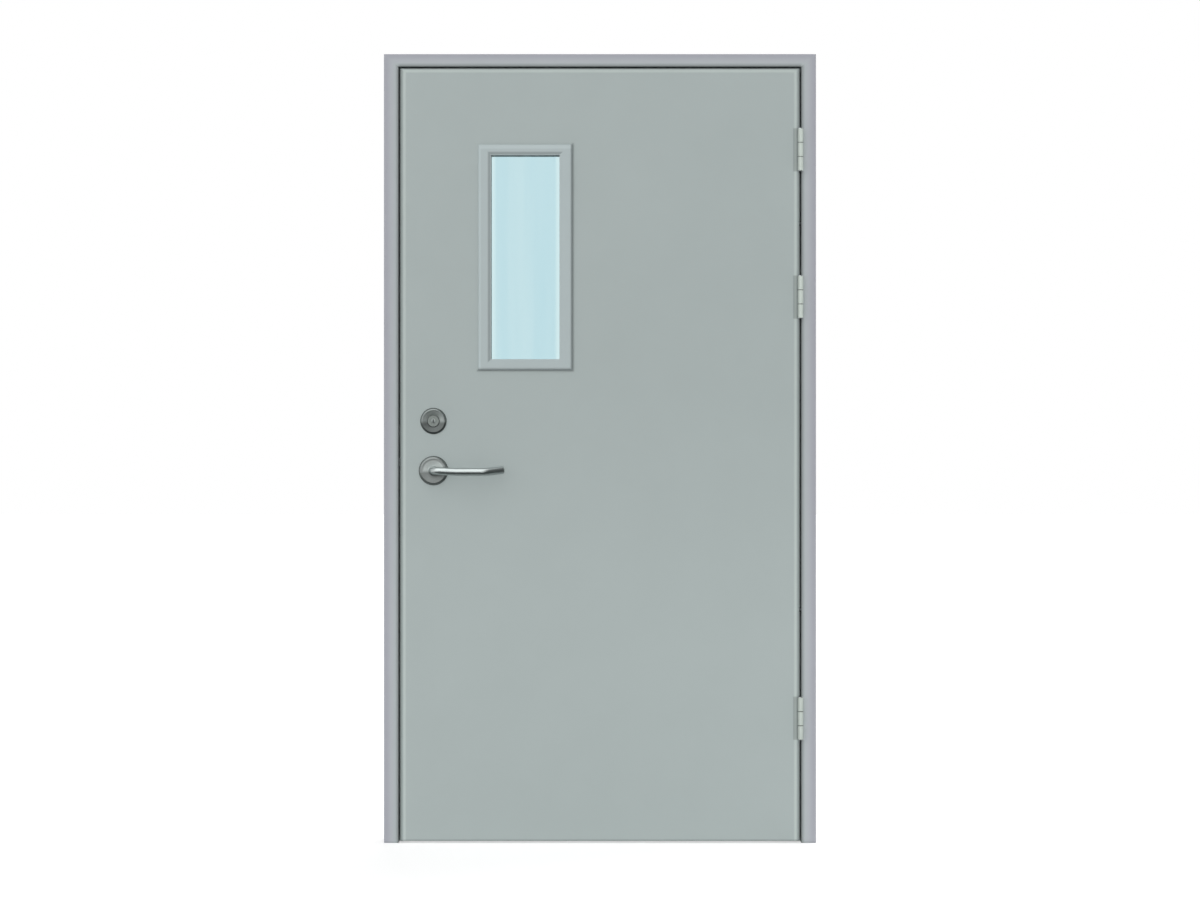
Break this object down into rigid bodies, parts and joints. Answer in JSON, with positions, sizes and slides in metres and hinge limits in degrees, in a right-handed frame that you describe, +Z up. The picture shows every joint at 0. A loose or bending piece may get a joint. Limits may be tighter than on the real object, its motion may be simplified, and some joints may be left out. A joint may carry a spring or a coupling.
{
  "type": "steel fire door",
  "caption": "Single-leaf steel fire door in a folded steel frame, with a narrow vision panel, lever handles, a mortice lock and butt hinges.",
  "frame": {"origin": "on the floor, halfway across the frame's width and halfway through the leaf's thickness", "axes": "+X towards the hinge side, -Y out of the pull face where the hinge pins show, +Z up"},
  "size_m": [1.15, 0.18, 2.1],
  "materials": {
    "frame_paint": "satin grey paint",
    "leaf_paint": "satin grey paint",
    "glazing_paint": "satin pale grey paint",
    "hinge_paint": "satin grey paint",
    "satin_steel": "satin stainless",
    "plated_steel": "zinc plated",
    "brass": "turned",
    "glass": "clear fire-resisting glass",
    "seal_rubber": "matt",
    "strip_grey": "matt",
    "board": "matt mineral board"
  },
  "bodies": {
    "frame": {"lock_jamb": "frame_paint", "hinge_jamb": "frame_paint", "frame_head": "frame_paint", "smoke_seal": "seal_rubber", "wall_fixing_sleeves": "plated_steel", "base_plates": "plated_steel", "strike_plate": "satin_steel", "strike_screws": "plated_steel", "strike_box": "plated_steel", "frame_hinge_leaf_top": "hinge_paint", "frame_hinge_leaf_middle": "hinge_paint", "frame_hinge_leaf_bottom": "hinge_paint", "hinge_pins": "hinge_paint", "hinge_washers": "brass", "frame_hinge_screws": "plated_steel", "frame_hinge_reinforcements": "plated_steel", "security_bolt_cups": "plated_steel"},
    "leaf": {"front_skin": "leaf_paint", "back_skin": "leaf_paint", "core_board": "board", "lock_stile": "plated_steel", "hinge_stile": "plated_steel", "top_channel": "plated_steel", "bottom_channel": "plated_steel", "window_liner": "plated_steel", "side_strips": "strip_grey", "top_strip": "strip_grey", "door_hinge_leaf_top": "hinge_paint", "door_hinge_leaf_middle": "hinge_paint", "door_hinge_leaf_bottom": "hinge_paint", "door_hinge_screws": "plated_steel", "door_hinge_reinforcements": "plated_steel", "security_bolts": "plated_steel", "glass_pane": "glass", "front_glazing_frame": "glazing_paint", "back_glazing_frame": "glazing_paint", "glazing_tapes": "seal_rubber", "setting_blocks": "strip_grey", "glazing_screws": "plated_steel", "lock_case": "plated_steel", "lock_cover": "plated_steel", "lock_faceplate": "satin_steel", "faceplate_screws": "plated_steel", "lock_fixing_tabs": "plated_steel", "front_rose": "satin_steel", "back_rose": "satin_steel", "rose_bolts": "plated_steel", "cylinder_bodies": "brass", "cylinder_collar": "satin_steel", "thumbturn_rose": "satin_steel"},
    "levers": {"front_lever": "satin_steel", "back_lever": "satin_steel", "spindle": "plated_steel", "follower": "plated_steel"},
    "latch": {"latch_bolt": "plated_steel"},
    "thumbturn": {"thumbturn": "satin_steel", "bolt_cam": "plated_steel"},
    "dead_bolt": {"dead_bolt": "plated_steel"},
    "key_plug": {"key_plug": "brass"}
  },
  "joints": [
    {"name": "leaf_swing", "type": "hinge", "parent": "frame", "child": "leaf", "pos_m": [0.5335, -0.033, 1.03], "axis": [0, 0, 1], "range_deg": [0, 170]},
    {"name": "lever_turn", "type": "hinge", "parent": "leaf", "child": "levers", "pos_m": [-0.443, 0, 0.991], "axis": [0, 1, 0], "range_deg": [0, 45], "stiffness_Nm_per_rad": 2, "springref_deg": -68.75},
    {"name": "latch_slide", "type": "slide", "parent": "leaf", "child": "latch", "axis": [1, 0, 0], "range_m": [0, 0.012]},
    {"name": "thumbturn_turn", "type": "hinge", "parent": "leaf", "child": "thumbturn", "pos_m": [-0.443, 0, 1.123], "axis": [0, 1, 0], "range_deg": [0, 90]},
    {"name": "dead_bolt_slide", "type": "slide", "parent": "leaf", "child": "dead_bolt", "axis": [-1, 0, 0], "range_m": [0, 0.02]},
    {"name": "key_turn", "type": "hinge", "parent": "leaf", "child": "key_plug", "pos_m": [-0.443, 0, 1.123], "axis": [0, 1, 0], "range_deg": [0, 90]}
  ],
  "couplings": [
    {"joint": "latch_slide", "follows": "lever_turn", "m_per_rad": 0.015278},
    {"joint": "dead_bolt_slide", "follows": "thumbturn_turn", "m_per_rad": 0.012732},
    {"joint": "key_turn", "follows": "thumbturn_turn", "ratio": 1}
  ]
}
